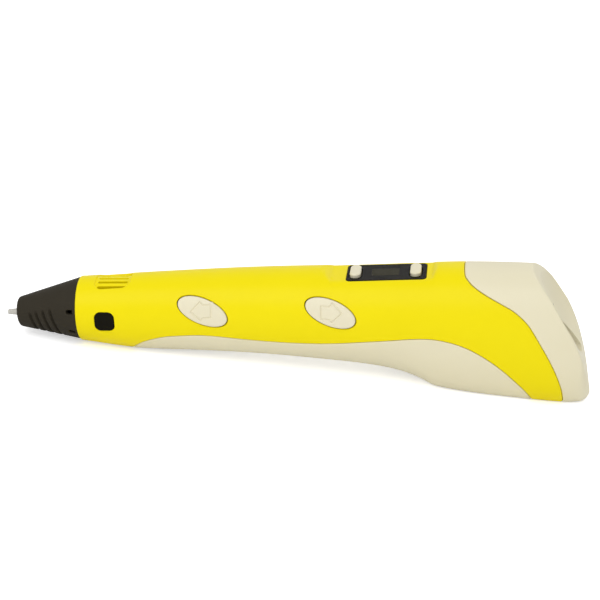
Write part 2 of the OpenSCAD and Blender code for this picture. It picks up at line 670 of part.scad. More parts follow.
socket_route = [[104, -8.6, -5.4], [112, -8.6, -4.2], [122, -8.4, -3.4], [129, -7.4, -2.4], [135, -5, -2],
                [148, -4.2, -2], [156, -3.4, -3.4], [161, -2, -7]];
module heater_leads() color(soot) for (y = [0, 1.2]) lead(heater_route, [0, y, 0]);
module fan_leads() color(soot) for (y = [0, 1]) lead(fan_route, [0, y, 0]);
module motor_leads() color([0.7, 0.1, 0.1]) for (y = [0, 1]) lead(motor_route, [0, y, -0.1 * y]);
module socket_leads() color(soot) for (z = [0, 1]) lead(socket_route, [0, 0, z]);

seat() upper_shell();
seat() belly_shell();
seat() tail_cap();
seat() nose_cone();
seat() indicator_lens();
seat() shell_screws();
seat() nozzle();
seat() heater_coil();
seat() heater_sleeve();
seat() thermistor();
seat() heat_break();
seat() cold_collar();
seat() fan_frame();
seat() fan_rotor();
seat() feed_tube();
seat() inlet_tube();
seat() inlet_guide();
seat() feed_key();
seat() retract_key();
seat() feed_plunger();
seat() retract_plunger();
seat() side_switches();
seat() main_board();
seat() board_chips();
seat() indicator_board();
seat() indicator_led();
seat() display_window();
seat() display_panel();
seat() display_board();
seat() heat_key();
seat() speed_key();
seat() heat_plunger();
seat() speed_plunger();
seat() top_switches();
seat() drive_frame();
seat() drive_cover();
seat() drive_screws();
seat() shaft_bushes();
seat() feed_shaft();
seat() feed_gear();
seat() hob();
seat() gearbox();
seat() gearbox_shaft();
seat() drive_pinion();
seat() motor();
seat() motor_cap();
seat() motor_bracket();
seat() idler_arm();
seat() idler_pivot();
seat() idler_axle();
seat() idler_roller();
seat() idler_spring();
seat() power_socket();
seat() socket_contact();
seat() heater_leads();
seat() fan_leads();
seat() motor_leads();
seat() socket_leads();
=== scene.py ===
import json
import math

import bpy
import numpy as np
from mathutils import Matrix, Vector


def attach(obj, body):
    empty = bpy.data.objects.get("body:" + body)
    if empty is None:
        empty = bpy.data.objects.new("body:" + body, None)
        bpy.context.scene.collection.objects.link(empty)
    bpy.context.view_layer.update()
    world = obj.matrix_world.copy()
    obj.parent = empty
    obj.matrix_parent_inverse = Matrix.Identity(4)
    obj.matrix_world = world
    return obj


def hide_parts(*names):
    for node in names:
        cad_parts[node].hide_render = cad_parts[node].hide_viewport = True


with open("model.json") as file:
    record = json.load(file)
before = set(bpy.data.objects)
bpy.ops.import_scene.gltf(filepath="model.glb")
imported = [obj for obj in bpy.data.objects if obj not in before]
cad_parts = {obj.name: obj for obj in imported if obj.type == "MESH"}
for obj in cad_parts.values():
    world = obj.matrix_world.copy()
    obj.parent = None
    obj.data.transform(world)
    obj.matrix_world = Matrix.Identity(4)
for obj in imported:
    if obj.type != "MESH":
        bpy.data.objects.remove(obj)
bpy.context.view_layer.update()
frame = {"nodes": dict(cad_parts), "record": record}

# ---- The pen's own axes ----
# Every piece is drawn in millimetres, with x running back from the nozzle tip along the filament,
# y across and z up. The filament inlet tells where those axes lie in the frame.
INLET_X = 168.5
inlet = next(m for m in frame["record"]["mounts"] if m["name"] == "filament_inlet")
pen_x = np.array(inlet["axis"], float)
pen_x /= np.linalg.norm(pen_x)
pen_y = np.array([0.0, 1.0, 0.0])
pen_axes = np.array([pen_x, pen_y, np.cross(pen_x, pen_y)])
pen_origin = np.array(inlet["pos_m"], float) - pen_x * INLET_X / 1000


def to_frame(points):
    return pen_origin + points @ pen_axes / 1000


# ---- Upper shell ----
# The yellow half of the casing, one injection-moulded ABS shell that closes to a ring behind the
# nose. It has openings for the keys, the indicator and the display, and a vent above the fan.
WALL = 1.8
SEAM_GAP = 0.15
RING_X = 24.1
FRONT_FOOT = (40, -10.9)
GROUND_SLOPE = 0.11747
TOP_LINE = [(20, 11.2), (25, 11.55), (50, 12.9), (80, 14.2), (110, 14.75), (132, 15.3), (146, 15.5),
            (168, 14.8), (190, 13)]
BELLY_LINE = [(20, -8.3), (25, -8.9), (40, -11.1), (50, -11.7), (62, -12), (80, -12.9), (95, -14.2),
              (115, -16.4), (125, -18.5), (131.5, -21.2), (136, -24), (146, -26.4), (160, -28.4),
              (174, -30), (180, -29.6), (190, -26)]
HALF_WIDTH = [(20, 9.8), (25, 10.25), (50, 11.6), (92, 13.3), (130, 14.8), (155, 15.5), (176, 15),
              (190, 13)]
ROUNDNESS = [(20, 2), (50, 2.1), (110, 2.15), (150, 2.35), (190, 2.35)]
BELLY_SEAM = [(37, -16), (42.7, -7.9), (50, -4.4), (58, -3.3), (66, -3.1), (80, -4.5), (92, -5.2),
              (104, -5.1), (118, -3.9), (132, -2.7), (140, -3.6), (147, -6.2), (154, -10.9),
              (160, -16.8), (165, -23.8), (168, -34)]
TAIL_SEAM = [(145, 24), (145.2, 16), (146.6, 13.6), (150.6, 11), (156.6, 7.9), (160.6, 5.6),
             (164.6, 1.7), (168.3, -4.7), (171.6, -11.3), (174, -17.8), (175.2, -24), (175.8, -36)]


def along(table, x):
    """A smooth curve through a table of [place, size], read at x."""
    place, size = np.array(table, float).T
    slope = np.empty(len(place))
    slope[1:-1] = (size[2:] - size[:-2]) / (place[2:] - place[:-2])
    slope[0] = (size[1] - size[0]) / (place[1] - place[0])
    slope[-1] = (size[-1] - size[-2]) / (place[-1] - place[-2])
    i = np.clip(np.searchsorted(place, x, "right") - 1, 0, len(place) - 2)
    width = place[i + 1] - place[i]
    u = (x - place[i]) / width
    return ((2 * u**3 - 3 * u**2 + 1) * size[i] + (u**3 - 2 * u**2 + u) * width * slope[i]
            + (3 * u**2 - 2 * u**3) * size[i + 1] + (u**3 - u**2) * width * slope[i + 1])


def soft_min(a, b, blend):
    h = np.clip(0.5 + 0.5 * (b - a) / blend, 0, 1)
    return b * (1 - h) + a * h - blend * h * (1 - h)


def power(c, n):
    return np.sign(c) * np.abs(c) ** (2 / n)


def section(x, turn, inset):
    """y and z of the casing's skin at x, a turn round from +y, drawn in by inset."""
    n = along(ROUNDNESS, x)
    top = along(TOP_LINE, x) - inset
    low = along(BELLY_LINE, x) + inset
    y = (along(HALF_WIDTH, x) - inset) * power(np.cos(turn), n)
    z = (top + low) / 2 + (top - low) / 2 * power(np.sin(turn), n)
    ramp = np.maximum(0, np.maximum(0.75 * (104.4 - x), 1.15 * (x - 135.4)))
    display_flat = 13.1 + 0.026 * (x - 109) + ramp - inset
    z = soft_min(z, display_flat, 0.8)
    ground = FRONT_FOOT[1] - (x - FRONT_FOOT[0]) * GROUND_SLOPE + inset
    return y, -soft_min(-z, -ground, 1.2)


REAR_ARC = (115.8, -31.3, 68.3)
DISH = {"x": 177.5, "z": 0.3, "tilt": math.radians(29.3), "deep": 4.7, "wide": 14.4, "high": 16.5}


def rear_face(y, z, inset):
    """x of the rear end: an arc seen from the side, with a dish scooped out of it."""
    arc = REAR_ARC[0] + np.sqrt((REAR_ARC[2] - inset) ** 2 - (z - REAR_ARC[1]) ** 2)
    deep, wide, high = (DISH[k] + inset for k in ("deep", "wide", "high"))
    c, s = math.cos(DISH["tilt"]), math.sin(DISH["tilt"])
    dz = z - DISH["z"]
    k2 = c * c / deep**2 + s * s / high**2
    k1 = 2 * dz * c * s * (1 / deep**2 - 1 / high**2)
    k0 = dz**2 * (s * s / deep**2 + c * c / high**2) + (y / wide) ** 2 - 1
    inside = k1 * k1 - 4 * k2 * k0
    front = DISH["x"] + (-k1 - np.sqrt(np.maximum(inside, 0))) / (2 * k2)
    return soft_min(arc, np.where(inside > 0, front, arc + 5), 0.3)


def casing_skin(inset, columns=176):
    """Grid of points over the whole casing, from its front ring round the rear rim to the inlet."""
    turn = np.arange(columns) * 2 * math.pi / columns
    rim = np.full(columns, 175.0)
    for _ in range(40):
        y, z = section(rim, turn, inset)
        arc = REAR_ARC[0] + np.sqrt((REAR_ARC[2] - inset) ** 2 - (z - REAR_ARC[1]) ** 2)
        rim = (rim + arc) / 2
    y_rim, z_rim = section(rim, turn, inset)
    low = np.clip((-8 - z_rim) / 12, 0, 1)
    corner = 0.5 + 2.5 * low * low * (3 - 2 * low)
    rows = []
    for s in np.linspace(0, 1, 232):
        x = 23 + (rim - corner - 23) * s
        rows.append(np.stack([x, *section(x, turn, inset)], -1))
    reach = np.hypot(y_rim, z_rim)
    inner = 1 - corner / reach
    before = rows[-1]
    edge = np.stack([rim, y_rim, z_rim], -1)
    after = np.stack([rear_face(y_rim * inner, z_rim * inner, inset), y_rim * inner, z_rim * inner], -1)
    for t in np.linspace(0, 1, 9)[1:]:
        a, b, c = (1 - t) ** 2, math.sqrt(2) * t * (1 - t), t * t
        rows.append((a * before + b * edge + c * after) / (a + b + c))
    for t in np.linspace(0, 1, 70)[1:]:
        q = inner + (1 / reach - inner) * t**1.2
        rows.append(np.stack([rear_face(y_rim * q, z_rim * q, inset), y_rim * q, z_rim * q], -1))
    return np.array(rows)


def grid_normals(grid, closed):
    along_rows = np.gradient(grid, axis=0)
    if closed:
        across = np.roll(grid, -1, axis=1) - np.roll(grid, 1, axis=1)
    else:
        across = np.gradient(grid, axis=1)
    n = np.cross(across, along_rows)
    return n / np.maximum(np.linalg.norm(n, axis=-1, keepdims=True), 1e-9)


def sheet(outer, inner, closed=False):
    """An outer and an inner grid as one sheet of quads, ready to be trimmed."""
    rows, columns = outer.shape[:2]
    i, k = np.meshgrid(np.arange(rows - 1), np.arange(columns if closed else columns - 1),
                       indexing="ij")
    a, b = i * columns + k, i * columns + (k + 1) % columns
    quads = np.stack([a, b, b + columns, a + columns], -1).reshape(-1, 4)
    normals = grid_normals(outer, closed)
    return {"outer": outer.reshape(-1, 3), "inner": inner.reshape(-1, 3),
            "normal": normals.reshape(-1, 3), "quads": quads}


def unit(v):
    return v / np.maximum(np.linalg.norm(v, axis=-1, keepdims=True), 1e-9)


def slope_of(field, points, normals):
    """How a field changes along the surface."""
    step = 0.01
    g = np.stack([field(points + step * e) - field(points - step * e) for e in np.eye(3)], -1)
    g /= 2 * step
    return g - (g * normals).sum(-1, keepdims=True) * normals


def trim(piece, value, mark):
    """Cuts the sheet along value = 0 and keeps the side above."""
    inside = value > 0
    count = inside[piece["quads"]].sum(1)
    crossing = piece["quads"][(count > 0) & (count < 4)].tolist()
    kept, made, pairs = [], {}, []
    for face in crossing + piece["loose"]:
        polygon = []
        for a, b in zip(face, face[1:] + face[:1]):
            if inside[a]:
                polygon.append(a)
            if inside[a] != inside[b]:
                key = (min(a, b), max(a, b))
                if key not in made:
                    made[key] = len(value) + len(pairs)
                    pairs.append(key)
                polygon.append(made[key])
        if len(polygon) > 2:
            kept.append(polygon)
    piece["quads"] = piece["quads"][count == 4]
    piece["loose"] = kept
    if pairs:
        a, b = np.array(pairs).T
        t = (value[a] / (value[a] - value[b]))[:, None]
        for name in ("outer", "inner", "normal"):
            new = piece[name][a] * (1 - t) + piece[name][b] * t
            piece[name] = np.vstack([piece[name], unit(new) if name == "normal" else new])
        piece["mark"] = np.concatenate([piece["mark"], np.full(len(pairs), mark)])


LIP_STEPS = 4


def mould(skin, cuts):
    """A closed solid: the skin kept inside its cuts, a rounded edge and a wall along each cut, and
    the inner skin. A cut is (field that is positive in the piece, gap, edge radius, wall or None)."""
    piece = dict(skin, loose=[], mark=np.full(len(skin["outer"]), -1))
    for mark, (field, gap, radius, _) in enumerate(cuts):
        g = slope_of(field, piece["outer"], piece["normal"])
        steep = np.maximum(np.linalg.norm(g, axis=-1), 0.25)
        trim(piece, (field(piece["outer"]) - gap) / steep - radius, mark)
    faces = piece["quads"].tolist() + piece["loose"]
    edges = {}
    for face in faces:
        for a, b in zip(face, face[1:] + face[:1]):
            edges[a, b] = True
    border = [(a, b) for a, b in edges if (b, a) not in edges]
    rim = sorted({v for edge in border for v in edge})
    number = {v: i for i, v in enumerate(rim)}
    base, up = piece["outer"][rim], piece["normal"][rim]
    below, mark = piece["inner"][rim], piece["mark"][rim]
    out, radius = np.zeros_like(base), np.zeros((len(rim), 1))
    for m, (field, _, r, _) in enumerate(cuts):
        mine = mark == m
        out[mine] = unit(-slope_of(field, base[mine], up[mine]))
        radius[mine] = r
    rows, row_normals = [], []
    for j in range(1, LIP_STEPS + 1):
        a = math.pi / 2 * j / LIP_STEPS
        rows.append(base + radius * (math.sin(a) * out - (1 - math.cos(a)) * up))
        row_normals.append(math.cos(a) * up + math.sin(a) * out)
    brink = rows[-1]
    depth = max([1] + [len(c[3](brink[:1], out[:1])) for c in cuts if c[3]])
    walls = [below + radius * out + (brink - below - radius * out) * (depth - 1 - j) / depth
             for j in range(depth)]
    for m, cut in enumerate(cuts):
        if cut[3] and (mark == m).any():
            made = cut[3](brink[mark == m], out[mark == m])
            for j in range(depth):
                walls[j][mark == m] = made[min(j, len(made) - 1)]
    rows += walls
    row_normals += [out] * depth
    total = len(piece["outer"])
    points = np.vstack([piece["outer"], *rows, piece["inner"]])
    normals = np.vstack([piece["normal"], *row_normals, -piece["normal"]])
    inner_start = total + len(rows) * len(rim)
    solid = list(faces)
    for a, b in border:
        i, j = number[a], number[b]
        ring_a = [a] + [total + k * len(rim) + i for k in range(len(rows))] + [inner_start + a]
        ring_b = [b] + [total + k * len(rim) + j for k in range(len(rows))] + [inner_start + b]
        for k in range(len(ring_a) - 1):
            solid.append([ring_b[k], ring_a[k], ring_a[k + 1], ring_b[k + 1]])
    solid += [[inner_start + v for v in reversed(face)] for face in faces]
    return points, normals, solid


def piece_from(name, solids, material, body, stands_for=()):
    """One Blender object from closed solids in pen millimetres, riding on its body."""
    points, normals, faces, start = [], [], [], 0
    for p, n, f in solids:
        points.append(p)
        normals.append(n)
        faces += [[v + start for v in face] for face in f]
        start += len(p)
    points, normals = np.vstack(points), np.vstack(normals)
    used = np.unique(np.concatenate([np.array(f) for f in faces]))
    number = np.full(start, -1)
    number[used] = np.arange(len(used))
    mesh = bpy.data.meshes.new(name)
    mesh.from_pydata(to_frame(points[used]).tolist(), [], [number[f].tolist() for f in faces])
    mesh.polygons.foreach_set("use_smooth", [True] * len(mesh.polygons))
    mesh.update()
    mesh.normals_split_custom_set_from_vertices(unit(normals[used] @ pen_axes).tolist())
    mesh.materials.append(material)
    made = bpy.data.objects.new(name, mesh)
    bpy.context.scene.collection.objects.link(made)
    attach(made, body)
    if stands_for:
        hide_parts(*stands_for)
    return made


def rgb(r, g, b):
    """A linear colour from the 0 to 255 values of a paint chip."""
    return [((c / 255 + 0.055) / 1.055) ** 2.4 if c > 10 else c / 255 / 12.92 for c in (r, g, b)] + [1.0]


def plastic(name, colour, shade, rough, grain=0.02, grain_size=9000.0, metal=0.0, mirror=0.5):
    """A moulded or machined finish: slow drift of tone between two colours, uneven gloss, and a
    fine spark-eroded or brushed grain as bump. mirror scales how much the surface reflects."""
    m = bpy.data.materials.new(name)
    m.use_nodes = True
    nodes, links = m.node_tree.nodes, m.node_tree.links
    surface = nodes["Principled BSDF"]
    surface.inputs["Metallic"].default_value = metal
    surface.inputs["Specular IOR Level"].default_value = mirror
    where = nodes.new("ShaderNodeTexCoord")

    def noise(scale, detail):
        n = nodes.new("ShaderNodeTexNoise")
        n.inputs["Scale"].default_value = scale
        n.inputs["Detail"].default_value = detail
        links.new(where.outputs["Object"], n.inputs["Vector"])
        return n.outputs["Fac"]

    tone = nodes.new("ShaderNodeMix")
    tone.data_type = "RGBA"
    tone.inputs["A"].default_value = colour
    tone.inputs["B"].default_value = shade
    links.new(noise(55.0, 3.0), tone.inputs["Factor"])
    links.new(tone.outputs["Result"], surface.inputs["Base Color"])
    gloss = nodes.new("ShaderNodeMapRange")
    gloss.inputs["To Min"].default_value = rough * 0.85
    gloss.inputs["To Max"].default_value = rough * 1.15
    links.new(noise(400.0, 2.0), gloss.inputs["Value"])
    links.new(gloss.outputs["Result"], surface.inputs["Roughness"])
    bump = nodes.new("ShaderNodeBump")
    bump.inputs["Strength"].default_value = grain * 5
    bump.inputs["Distance"].default_value = 0.0001
    links.new(noise(grain_size, 2.0), bump.inputs["Height"])
    links.new(bump.outputs["Normal"], surface.inputs["Normal"])
    return m


def smooth_line(points, steps=10):
    """A line of many short steps that runs smoothly through its points."""
    p = np.array(points, float)
    ahead = np.vstack([2 * p[0] - p[1], p, 2 * p[-1] - p[-2]])
    u = np.arange(steps)[:, None] / steps
    made = []
    for i in range(len(p) - 1):
        a, b, c, d = ahead[i:i + 4]
        made.append((2 * b + (c - a) * u + (2 * a - 5 * b + 4 * c - d) * u**2
                     + (3 * b - a - 3 * c + d) * u**3) / 2)
    return np.vstack([*made, p[-1:]])


def side_of(line):
    """A field: distance, seen from the side, from a line that runs on past both its ends."""
    start, run = line[:-1], np.diff(line, axis=0)
    low, high = np.zeros(len(run)), np.ones(len(run))
    low[0], high[-1] = -50, 50

    def field(points):
        result = np.empty(len(points))
        for part in range(0, len(points), 4000):
            p = points[part:part + 4000, None, ::2] - start
            t = np.clip((p * run).sum(-1) / (run**2).sum(-1), low, high)
            away = np.linalg.norm(p - t[..., None] * run, axis=-1)
            near = away.argmin(1)
            pick = np.arange(len(p))
            cross = run[near, 0] * p[pick, near, 1] - run[near, 1] * p[pick, near, 0]
            result[part:part + 4000] = away[pick, near] * np.sign(cross)
        return result
    return field


def rounded_box(u, v, half_u, half_v, r):
    """Distance outside a rectangle with round corners."""
    qu, qv = np.abs(u) - half_u + r, np.abs(v) - half_v + r
    return np.hypot(np.maximum(qu, 0), np.maximum(qv, 0)) + np.minimum(np.maximum(qu, qv), 0) - r


def opposite(field):
    return lambda p: -field(p)


FAR = 50.0
above_belly = side_of(smooth_line(BELLY_SEAM))
behind_tail = side_of(smooth_line(TAIL_SEAM))

FLAT_AT = (109, 13.1)
FLAT_TILT = math.radians(1.5)
WINDOW = (24.6, 12.6, 1.2)


def flat_place(p):
    """Place along and above the display flat."""
    dx, dz = p[:, 0] - FLAT_AT[0], p[:, 2] - FLAT_AT[1]
    c, s = math.cos(FLAT_TILT), math.sin(FLAT_TILT)
    return dx * c + dz * s, -dx * s + dz * c


def off_window(p):
    u, _ = flat_place(p)
    away = rounded_box(u - WINDOW[0] / 2, p[:, 1], WINDOW[0] / 2, WINDOW[1] / 2, WINDOW[2])
    return np.where(p[:, 2] > 5, away, FAR)


FLANK_TILT = math.radians(20)
FLANK_OUT = np.array([0, -math.cos(FLANK_TILT), math.sin(FLANK_TILT)])
FLANK_UP = np.array([0, math.sin(FLANK_TILT), math.cos(FLANK_TILT)])
KEY_HALF = (8.2, 4.0)
KEY_SLANT = math.radians(-23.5)
KEYS = {"feed_key": (64.7, 0.9), "retract_key": (104.5, 0.5)}


def off_key(centre):
    """A field: distance outside a side key's oval."""
    def field(p):
        u, v = p[:, 0] - centre[0], p @ FLANK_UP - centre[1]
        c, s = math.cos(KEY_SLANT), math.sin(KEY_SLANT)
        q = np.hypot((u * c + v * s) / KEY_HALF[0], (v * c - u * s) / KEY_HALF[1])
        return np.where(p[:, 1] < -4, (q - 1) * KEY_HALF[1], FAR)
    return field


LENS_AT = (33.4, 1.1)
LENS_HALF, LENS_CORNER = 3.1, 1.9


def off_lens(p):
    away = rounded_box(p[:, 0] - LENS_AT[0], p[:, 2] - LENS_AT[1], LENS_HALF, LENS_HALF, LENS_CORNER)
    return np.where(p[:, 1] < -4, away, FAR)


VENT_X = (29.8, 41.0)
VENT_HALF = 5.7


def off_vent(p):
    away = rounded_box(p[:, 0] - sum(VENT_X) / 2, p[:, 1], (VENT_X[1] - VENT_X[0]) / 2, VENT_HALF, 2.4)
    return np.where(p[:, 2] > 4, away, FAR)


# the vent's floor: a curved plate with five slots over the fan
VENT_FLOOR_R = 10.4
SLOT_PITCH = 2.3
vent_x, vent_y = np.meshgrid(np.arange(28.9, 42, 0.2), np.arange(-6.6, 6.7, 0.2))
floor_z = 1 + np.sqrt(VENT_FLOOR_R**2 - vent_y**2)
vent_floor = sheet(np.stack([vent_x, vent_y, floor_z], -1), np.stack([vent_x, vent_y, floor_z - 1.1], -1))


def off_slot(k):
    middle, half = sum(VENT_X) / 2, (VENT_X[1] - VENT_X[0]) / 2 - 0.9
    return lambda p: rounded_box(p[:, 0] - middle, p[:, 1] - SLOT_PITCH * k, half, 0.5, 0.5)


yellow_abs = plastic("yellow_abs", rgb(245, 227, 8), rgb(241, 222, 4), 0.36, mirror=0.12)
casing = sheet(casing_skin(0), casing_skin(WALL), closed=True)
half_gap = SEAM_GAP / 2
upper = mould(casing, [
    (lambda p: p[:, 0] - RING_X, 0, 0.35, None),
    (above_belly, half_gap, 0.3, None),
    (opposite(behind_tail), half_gap, 0.5, None),
    (off_key(KEYS["feed_key"]), 0.15, 0.25, None),
    (off_key(KEYS["retract_key"]), 0.15, 0.25, None),
    (off_lens, 0.1, 0.2, None),
    (off_window, 0.1, 0.2, None),
    (off_vent, 0, 0.35, None)])
floor = mould(vent_floor, [(off_slot(k), 0, 0.2, None) for k in range(-2, 3)])
piece_from("upper_shell_moulding", [upper, floor], yellow_abs, "casing", ["upper_shell"])


# ---- Belly shell ----
# The ivory lower half of the casing, injection-moulded ABS, with the rounded heel that the pen
# rests on. Two screws from below hold it to the yellow shell.
ivory_abs = plastic("ivory_abs", rgb(233, 226, 197), rgb(229, 221, 190), 0.4, mirror=0.35)
SCREWS = [(60, 6), (148, 9.6)]


def off_screw(x, y):
    return lambda p: np.where(p[:, 2] < -5, np.hypot(p[:, 0] - x, p[:, 1] - y) - 1.9, FAR)


belly = mould(casing, [
    (opposite(above_belly), half_gap, 0.3, None),
    (opposite(behind_tail), half_gap, 0.3, None)]
    + [(off_screw(x, y), 0, 0.25, lambda p, out: [p + [0, 0, 4.0]]) for x, y in SCREWS])
piece_from("belly_shell_moulding", [belly], ivory_abs, "casing", ["belly_shell"])


# ---- Tail cap ----
# The ivory end cap, moulded like the belly. Its rear face is scooped to a dish, with the filament
# inlet in the middle and a round pocket below it where the power plug enters.
SOCKET_Z = -8
POCKET_R, POCKET_X = 5.0, 173.6
INLET_R = 2.5


def pocket_wall(p, out):
    """Straight in along the pen, then a floor that leaves room for the socket."""
    across = np.stack([np.zeros(len(p)), p[:, 1], p[:, 2] - SOCKET_Z], -1)
    ray, axis = unit(across), np.array([0, 0, SOCKET_Z])
    return [axis + ray * r + [x, 0, 0] for r, x in
            [(POCKET_R, POCKET_X), (4.25, POCKET_X), (4.25, POCKET_X - 1.6), (5.8, POCKET_X - 1.6)]]


def inlet_wall(p, out):
    return [p - [2.0, 0, 0]]


tail = mould(casing, [
    (behind_tail, half_gap, 0.3, None),
    (lambda p: np.where(p[:, 0] > 160, np.hypot(p[:, 1], p[:, 2]) - INLET_R, FAR), 0, 0.2, inlet_wall),
    (lambda p: np.where(p[:, 0] > 160, np.hypot(p[:, 1], p[:, 2] - SOCKET_Z) - POCKET_R, FAR),
     0, 0.3, pocket_wall)])
piece_from("tail_cap_moulding", [tail], ivory_abs, "casing", ["tail_cap"])


# ---- Nose cone ----
# The dark nylon cone that shields the hot end and pulls off forwards. Four grip grooves run round
# its lower half, and two short slots on each side let warm air out.
NOSE_AT = np.array([3.8, 0, 0.13])
NOSE_LEAN = math.radians(3.2)
NOSE_AXIS = np.array([math.cos(NOSE_LEAN), 0, math.sin(NOSE_LEAN)])
NOSE_UP = np.array([-math.sin(NOSE_LEAN), 0, math.cos(NOSE_LEAN)])
NOSE_WALL = 1.5
RING_Z = 1.35
GROOVE_X = [8.9, 11.2, 13.7, 16.3]
GROOVE_LEAN = math.radians(15.5)


def nose_grid(inset, columns=260):
    face = [(0.35 * (r / 3.65) ** 2 - 0.35 + inset, r) for r in np.linspace(0.9, 3.6 - inset, 10)]
    rim = [(1.25 + (inset - 1.25) * math.sin(a), 3.65 + (1.25 - inset) * math.cos(a))
           for a in np.radians(np.linspace(88, 14, 12))]
    rise = 0.258
    flank = [(rim[-1][0] + d, rim[-1][1] + rise * d) for d in np.linspace(0, 22.6, 150)[1:]]
    turn = np.arange(columns) * 2 * math.pi / columns
    ring = np.cos(turn)[:, None] * np.array([0, 1, 0]) + np.sin(turn)[:, None] * NOSE_UP
    return np.array([NOSE_AT + d * NOSE_AXIS + r * ring for d, r in face + rim + flank])


def groove_depth(p):
    """Depth of the grip grooves at a point of the cone."""
    depth = np.zeros(p.shape[:-1])
    for x in GROOVE_X:
        dx, dz = p[..., 0] - x, p[..., 2]
        across = dx * math.cos(GROOVE_LEAN) + dz * math.sin(GROOVE_LEAN)
        height = dz * math.cos(GROOVE_LEAN) - dx * math.sin(GROOVE_LEAN)
        top = 2.6 + 0.25 * (x - GROOVE_X[0])
        fade = np.clip((top - height) / 1.5, 0, 1)
        depth = np.maximum(depth, 0.85 * np.exp(-(across / 0.4) ** 4) * fade)
    return depth


def off_nose_slot(side, turn):
    def field(p):
        c, s = math.cos(math.radians(turn)), math.sin(math.radians(turn))
        dy, dz = side * p[:, 1], p[:, 2] - RING_Z
        height = dz * c - dy * s
        return np.where(dy * c + dz * s > 4, rounded_box(p[:, 0] - 22.15, height, 1.25, 0.7, 0.68), FAR)
    return field


def open_ring(profile, centre_z, turns=96):
    """A turned ring: a closed outline of (x, radius) swept round an axis along the pen."""
    outline = np.array(profile, float)
    angle = np.arange(turns) * 2 * math.pi / turns
    points = np.stack([np.repeat(outline[:, 0], turns).reshape(len(outline), turns),
                       outline[:, 1:2] * np.cos(angle),
                       outline[:, 1:2] * np.sin(angle) + centre_z], -1)
    edge = np.roll(outline, -1, 0) - np.roll(outline, 1, 0)
    lean = unit(np.stack([-edge[:, 1], edge[:, 0]], -1))
    normals = np.stack([np.repeat(lean[:, 0], turns).reshape(len(outline), turns),
                        lean[:, 1:2] * np.cos(angle), lean[:, 1:2] * np.sin(angle)], -1)
    n = len(outline)
    faces = [[i * turns + k, i * turns + (k + 1) % turns,
              (i + 1) % n * turns + (k + 1) % turns, (i + 1) % n * turns + k]
             for i in range(n) for k in range(turns)]
    return points.reshape(-1, 3), normals.reshape(-1, 3), faces


def rounded_outline(corners, r, steps=5):
    """A closed outline of (x, radius) with every corner rounded."""
    made, c = [], np.array(corners, float)
    for a, b, d in zip(np.roll(c, 1, 0), c, np.roll(c, -1, 0)):
        reach = min(r, np.linalg.norm(a - b) / 2.1, np.linalg.norm(d - b) / 2.1)
        p, q = b + unit(a - b) * reach, b + unit(d - b) * reach
        for t in np.linspace(0, 1, steps):
            made.append((1 - t) ** 2 * p + 2 * t * (1 - t) * b + t * t * q)
    return made


nose_outer = nose_grid(0)
nose_normals = grid_normals(nose_outer, True)
nose_outer = nose_outer - nose_normals * groove_depth(nose_outer)[..., None]
nose_skin = sheet(nose_outer, nose_grid(NOSE_WALL), closed=True)
slots = [(off_nose_slot(side, turn), 0, 0.15, None) for side in (-1, 1) for turn in (15, -30)]
cone = mould(nose_skin, [
    (lambda p: 24.0 - p[:, 0], 0, 0.2, None),
    (lambda p: np.where(p[:, 0] < 6, np.hypot(p[:, 1], p[:, 2]) - 1.35, FAR), 0, 0.2, None)] + slots)
spigot = open_ring(rounded_outline([(22.9, 7.2), (22.9, 9.1), (23.9, 9.1), (23.9, 8.4), (27.6, 8.4),
                                    (27.6, 7.2)], 0.2), RING_Z)
soot_nylon = plastic("soot_nylon", rgb(54, 49, 39), rgb(46, 42, 33), 0.6, grain=0.05, grain_size=6000.0,
                     mirror=0.12)
piece_from("nose_cone_moulding", [cone, spigot], soot_nylon, "nose", ["nose_cone"])


# ---- Nozzle ----
# The hot end's ceramic-coated tube, turned to a blunt tip with the small hole that the melted
# filament leaves by. It runs back through the cone into the heater.
tip_outline = rounded_outline([(0, 0.35), (0, 0.8), (3.2, 1.1), (5.7, 1.1), (6.3, 2), (14, 2),
                               (14.4, 1.6), (16, 1.6), (16, 1.05), (3.4, 1.05), (2.4, 0.35)], 0.16)
ceramic = plastic("fired_ceramic", rgb(203, 200, 192), rgb(190, 187, 178), 0.42, grain=0.04)
piece_from("nozzle_tube", [open_ring(tip_outline, 0)], ceramic, "casing", ["nozzle"])


# ---- Indicator lens ----
# A small dark acrylic window with round corners, glued in from behind and flush with the flank.
# The indicator lamp shines through it.
lens_x, lens_z = np.meshgrid(np.arange(29.9, 37, 0.15), np.arange(-2.4, 4.7, 0.15))
lens_face = np.stack([lens_x, -np.sqrt(10.75**2 - (lens_z - 0.9) ** 2), lens_z], -1)
lens_back = np.stack([lens_x, np.full_like(lens_x, -8.9), lens_z], -1)
lens = mould(sheet(lens_face, lens_back), [(opposite(off_lens), 0, 0.3, None)])
smoked_acrylic = plastic("smoked_acrylic", rgb(20, 17, 7), rgb(15, 13, 5), 0.12, grain=0.0, mirror=0.08)
piece_from("indicator_lens_tile", [lens], smoked_acrylic, "casing", ["indicator_lens"])


# ---- Side keys ----
# Two oval ivory keys, moulded ABS, that feed the filament and draw it back. Each follows the
# flank, stands a little proud, and has an arrow outline engraved in it and a flange behind.
KEY_LIFT = 0.5
KEY_FACE = {"feed_key": 12.46, "retract_key": 13.81}
FLANGE_DEPTH = 4.4
ARROW = np.array([(-3.6, -0.1), (-0.65, 3.0), (0.2, 1.95), (2.8, 2.15), (2.8, -1.9), (0.2, -2.1),
                  (-0.45, -2.85), (-3.6, -0.1)])
key_ivory = plastic("key_ivory", rgb(234, 227, 200), rgb(230, 222, 193), 0.36, mirror=0.35)


